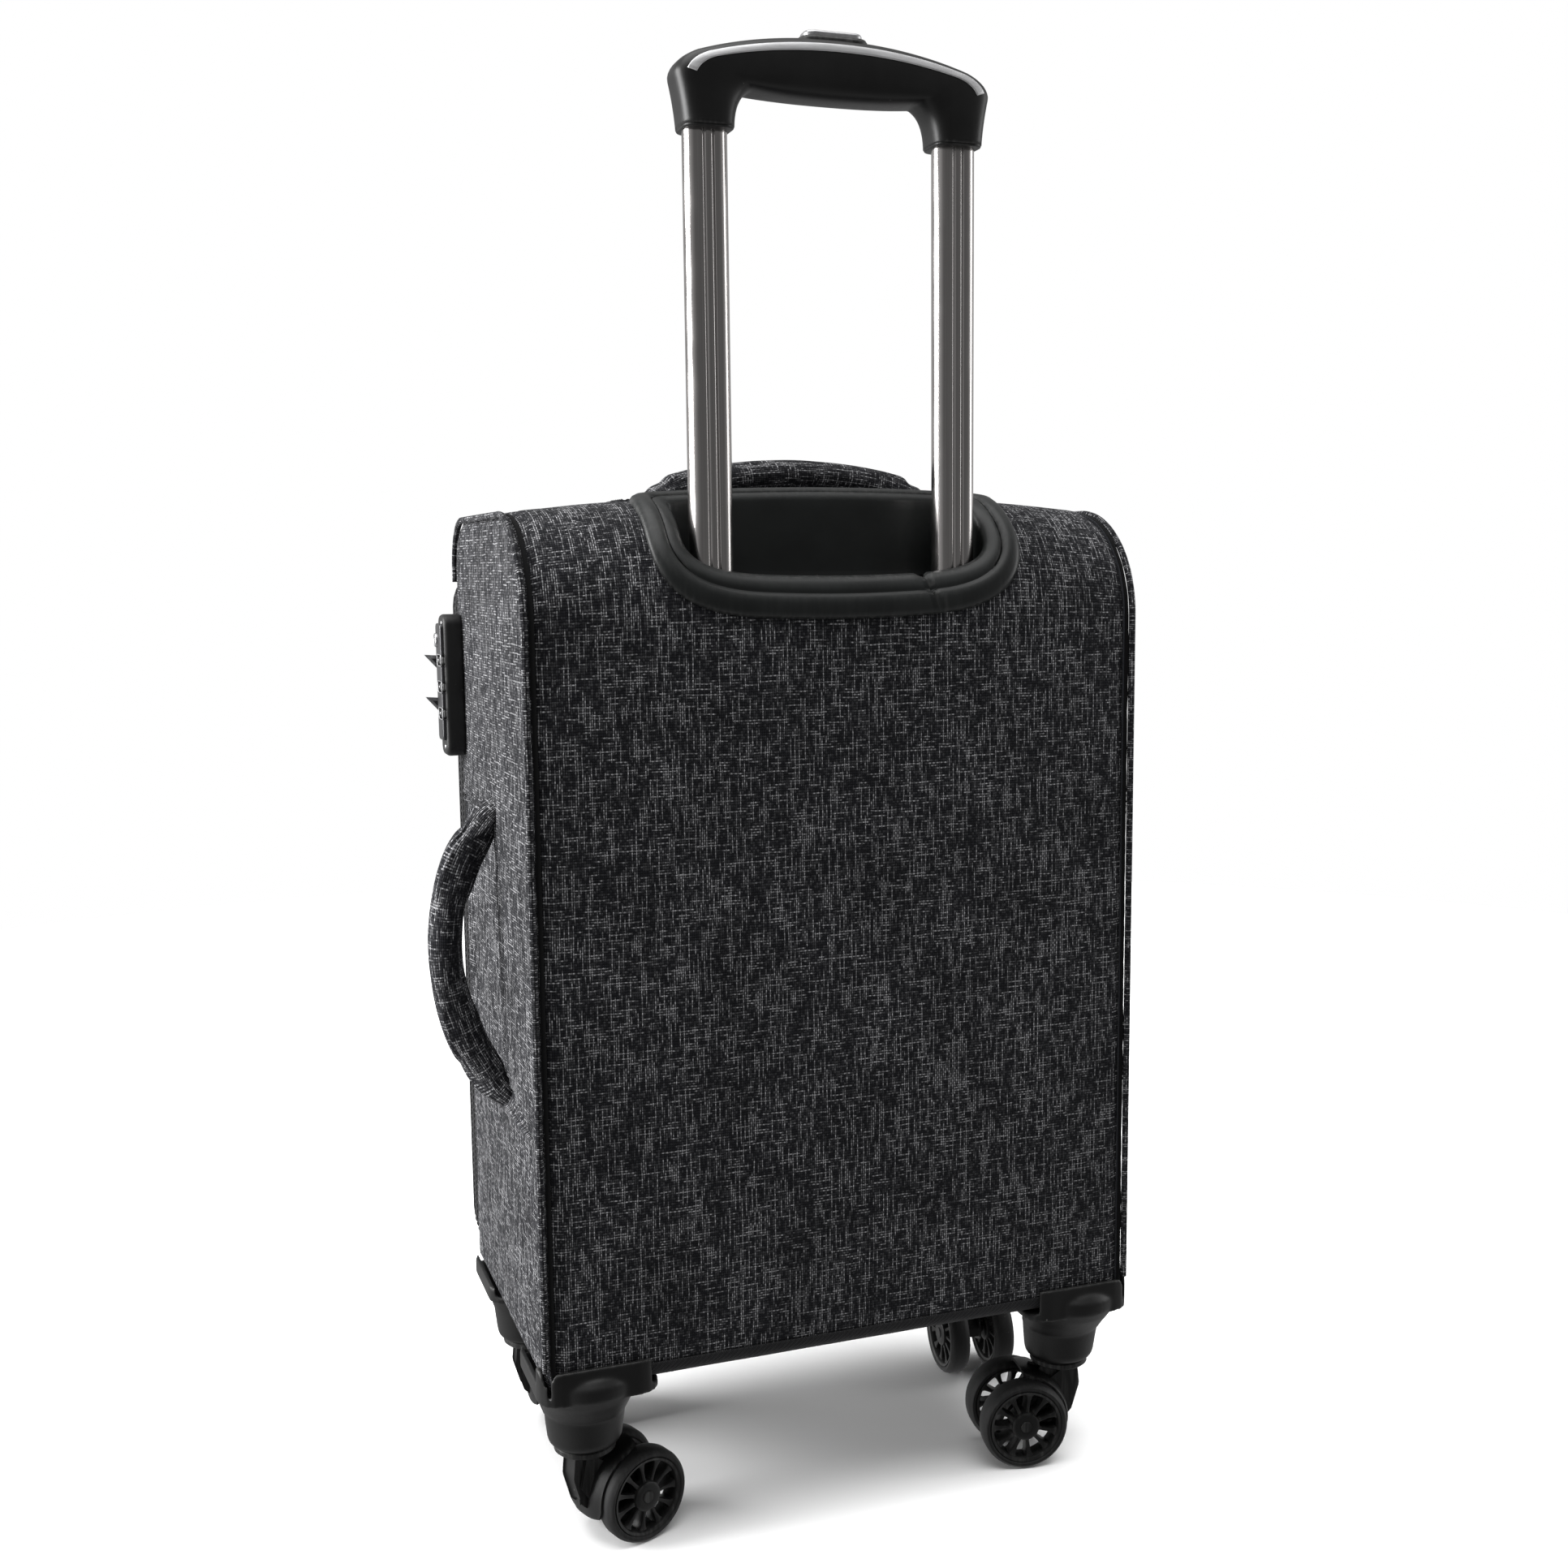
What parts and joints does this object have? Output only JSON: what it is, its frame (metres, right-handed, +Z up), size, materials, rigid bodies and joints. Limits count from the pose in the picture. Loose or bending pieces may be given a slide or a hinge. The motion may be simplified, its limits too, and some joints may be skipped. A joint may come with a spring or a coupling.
{
  "type": "softside upright suitcase",
  "caption": "Woven-fabric cabin suitcase with a telescopic trolley handle, spinner casters, zipped lid, side lock and padded carry handles.",
  "frame": {"origin": "middle of the footprint, on the floor under the casters", "axes": "+Z up, +Y out of the back panel and trolley side, +X to the side with the lock and side handle"},
  "size_m": [0.379, 0.236, 0.788],
  "materials": {
    "shell_fabric": "coarse heather plain weave, charcoal with light grey slubs, matt",
    "lining_fabric": "smooth woven polyester lining",
    "black_plastic": "moulded black plastic, fine grain, soft sheen",
    "wheel_rubber": "matt black wheel and tyre",
    "polished_tube": "polished anodised oval tube with long grooves",
    "satin_metal": "satin silver"
  },
  "bodies": {
    "case": {"back_panel": "shell_fabric", "top_panel": "shell_fabric", "bottom_panel": "shell_fabric", "front_border": "shell_fabric", "side_panel_right": "shell_fabric", "side_panel_left": "shell_fabric", "piping_right": "shell_fabric", "piping_left": "shell_fabric", "side_handle": "shell_fabric", "top_handle": "shell_fabric", "trolley_cover": "lining_fabric", "packing_straps": "lining_fabric", "trolley_cup": "black_plastic", "trolley_foot": "black_plastic", "lock_housing": "black_plastic", "strap_buckle": "black_plastic", "corner_guard_back_right": "black_plastic", "corner_guard_front_right": "black_plastic", "corner_guard_back_left": "black_plastic", "corner_guard_front_left": "black_plastic", "caster_housing_back_right": "black_plastic", "caster_housing_front_right": "black_plastic", "caster_housing_back_left": "black_plastic", "caster_housing_front_left": "black_plastic", "sleeve_tube_right": "satin_metal", "sleeve_tube_left": "satin_metal", "lock_plate": "satin_metal"},
    "mid_stage": {"mid_tube_right": "polished_tube", "mid_tube_left": "polished_tube"},
    "upper_stage": {"upper_tube_right": "polished_tube", "upper_tube_left": "polished_tube", "grip": "black_plastic", "grip_trim": "satin_metal"},
    "button": {"grip_button": "satin_metal"},
    "rods": {"push_rods": "satin_metal"},
    "lid": {"lid_wall": "shell_fabric", "lid_panel": "shell_fabric", "lid_divider": "lining_fabric", "pocket_large": "shell_fabric", "pocket_small": "shell_fabric"},
    "main_slider_upper": {"main_zip_slider_upper": "satin_metal"},
    "main_slider_lower": {"main_zip_slider_lower": "satin_metal"},
    "pocket_slider_large": {"pocket_zip_slider_large": "satin_metal"},
    "pocket_slider_small": {"pocket_zip_slider_small": "satin_metal"},
    "dial_1": {"lock_dial_1": "black_plastic"},
    "dial_2": {"lock_dial_2": "black_plastic"},
    "dial_3": {"lock_dial_3": "black_plastic"},
    "key_cylinder": {"lock_key_cylinder": "satin_metal"},
    "swivel_back_right": {"caster_fork_back_right": "black_plastic"},
    "wheel_back_right_a": {"wheel_back_right_a": "wheel_rubber"},
    "wheel_back_right_b": {"wheel_back_right_b": "wheel_rubber"},
    "swivel_front_right": {"caster_fork_front_right": "black_plastic"},
    "wheel_front_right_a": {"wheel_front_right_a": "wheel_rubber"},
    "wheel_front_right_b": {"wheel_front_right_b": "wheel_rubber"},
    "swivel_back_left": {"caster_fork_back_left": "black_plastic"},
    "wheel_back_left_a": {"wheel_back_left_a": "wheel_rubber"},
    "wheel_back_left_b": {"wheel_back_left_b": "wheel_rubber"},
    "swivel_front_left": {"caster_fork_front_left": "black_plastic"},
    "wheel_front_left_a": {"wheel_front_left_a": "wheel_rubber"},
    "wheel_front_left_b": {"wheel_front_left_b": "wheel_rubber"}
  },
  "joints": [
    {"name": "lid_hinge", "type": "hinge", "parent": "case", "child": "lid", "pos_m": [-0.18494, -0.08662, 0.311], "axis": [0, 0, -1], "range_deg": [0, 165]},
    {"name": "trolley_mid_slide", "type": "slide", "parent": "case", "child": "mid_stage", "axis": [0, 0, 1], "range_m": [0, 0.207]},
    {"name": "trolley_upper_slide", "type": "slide", "parent": "mid_stage", "child": "upper_stage", "axis": [0, 0, 1], "range_m": [-0.207, 0]},
    {"name": "grip_button_press", "type": "slide", "parent": "upper_stage", "child": "button", "axis": [0, 0, -1], "range_m": [0, 0.003], "stiffness_N_per_m": 700, "springref_m": -0.003},
    {"name": "push_rod_slide", "type": "slide", "parent": "upper_stage", "child": "rods", "axis": [0, 0, -1], "range_m": [0, 0.003]},
    {"name": "main_zip_upper_slide", "type": "slide", "parent": "case", "child": "main_slider_upper", "axis": [0, 0, 1], "range_m": [0, 0.048]},
    {"name": "main_zip_lower_slide", "type": "slide", "parent": "case", "child": "main_slider_lower", "axis": [0, 0, -1], "range_m": [0, 0.31]},
    {"name": "pocket_zip_large_slide", "type": "slide", "parent": "lid", "child": "pocket_slider_large", "axis": [-1, 0, 0], "range_m": [0, 0.272]},
    {"name": "pocket_zip_small_slide", "type": "slide", "parent": "lid", "child": "pocket_slider_small", "axis": [-1, 0, 0], "range_m": [0, 0.272]},
    {"name": "dial_1_turn", "type": "hinge", "parent": "case", "child": "dial_1", "pos_m": [0.15966, -0.07012, 0.439], "axis": [0, 0, 1], "continuous": true},
    {"name": "dial_2_turn", "type": "hinge", "parent": "case", "child": "dial_2", "pos_m": [0.15966, -0.07012, 0.4545], "axis": [0, 0, 1], "continuous": true},
    {"name": "dial_3_turn", "type": "hinge", "parent": "case", "child": "dial_3", "pos_m": [0.15966, -0.07012, 0.47], "axis": [0, 0, 1], "continuous": true},
    {"name": "key_turn", "type": "hinge", "parent": "case", "child": "key_cylinder", "pos_m": [0.16106, -0.07862, 0.4815], "axis": [1, 0, 0], "range_deg": [0, 90]},
    {"name": "swivel_back_right_turn", "type": "hinge", "parent": "case", "child": "swivel_back_right", "pos_m": [0.12606, 0.08438, 0.06], "axis": [0, 0, 1], "continuous": true},
    {"name": "wheel_back_right_a_spin", "type": "hinge", "parent": "swivel_back_right", "child": "wheel_back_right_a", "pos_m": [0.10676, 0.06139, 0.0256], "axis": [0.342, -0.9397, 0], "continuous": true},
    {"name": "wheel_back_right_b_spin", "type": "hinge", "parent": "swivel_back_right", "child": "wheel_back_right_b", "pos_m": [0.0965, 0.08958, 0.0256], "axis": [0.342, -0.9397, 0], "continuous": true},
    {"name": "swivel_front_right_turn", "type": "hinge", "parent": "case", "child": "swivel_front_right", "pos_m": [0.12606, -0.05562, 0.06], "axis": [0, 0, 1], "continuous": true},
    {"name": "wheel_front_right_a_spin", "type": "hinge", "parent": "swivel_front_right", "child": "wheel_front_right_a", "pos_m": [0.10006, -0.07062, 0.0256], "axis": [0, -1, 0], "continuous": true},
    {"name": "wheel_front_right_b_spin", "type": "hinge", "parent": "swivel_front_right", "child": "wheel_front_right_b", "pos_m": [0.10006, -0.04062, 0.0256], "axis": [0, -1, 0], "continuous": true},
    {"name": "swivel_back_left_turn", "type": "hinge", "parent": "case", "child": "swivel_back_left", "pos_m": [-0.15994, 0.08438, 0.06], "axis": [0, 0, 1], "continuous": true},
    {"name": "wheel_back_left_a_spin", "type": "hinge", "parent": "swivel_back_left", "child": "wheel_back_left_a", "pos_m": [-0.13173, 0.09463, 0.0256], "axis": [0.1736, 0.9848, 0], "continuous": true},
    {"name": "wheel_back_left_b_spin", "type": "hinge", "parent": "swivel_back_left", "child": "wheel_back_left_b", "pos_m": [-0.13694, 0.06509, 0.0256], "axis": [0.1736, 0.9848, 0], "continuous": true},
    {"name": "swivel_front_left_turn", "type": "hinge", "parent": "case", "child": "swivel_front_left", "pos_m": [-0.15994, -0.05562, 0.06], "axis": [0, 0, 1], "continuous": true},
    {"name": "wheel_front_left_a_spin", "type": "hinge", "parent": "swivel_front_left", "child": "wheel_front_left_a", "pos_m": [-0.17261, -0.02842, 0.0256], "axis": [-0.9962, 0.0872, 0], "continuous": true},
    {"name": "wheel_front_left_b_spin", "type": "hinge", "parent": "swivel_front_left", "child": "wheel_front_left_b", "pos_m": [-0.14273, -0.03103, 0.0256], "axis": [-0.9962, 0.0872, 0], "continuous": true}
  ],
  "couplings": [
    {"joint": "push_rod_slide", "follows": "grip_button_press", "ratio": 1}
  ]
}
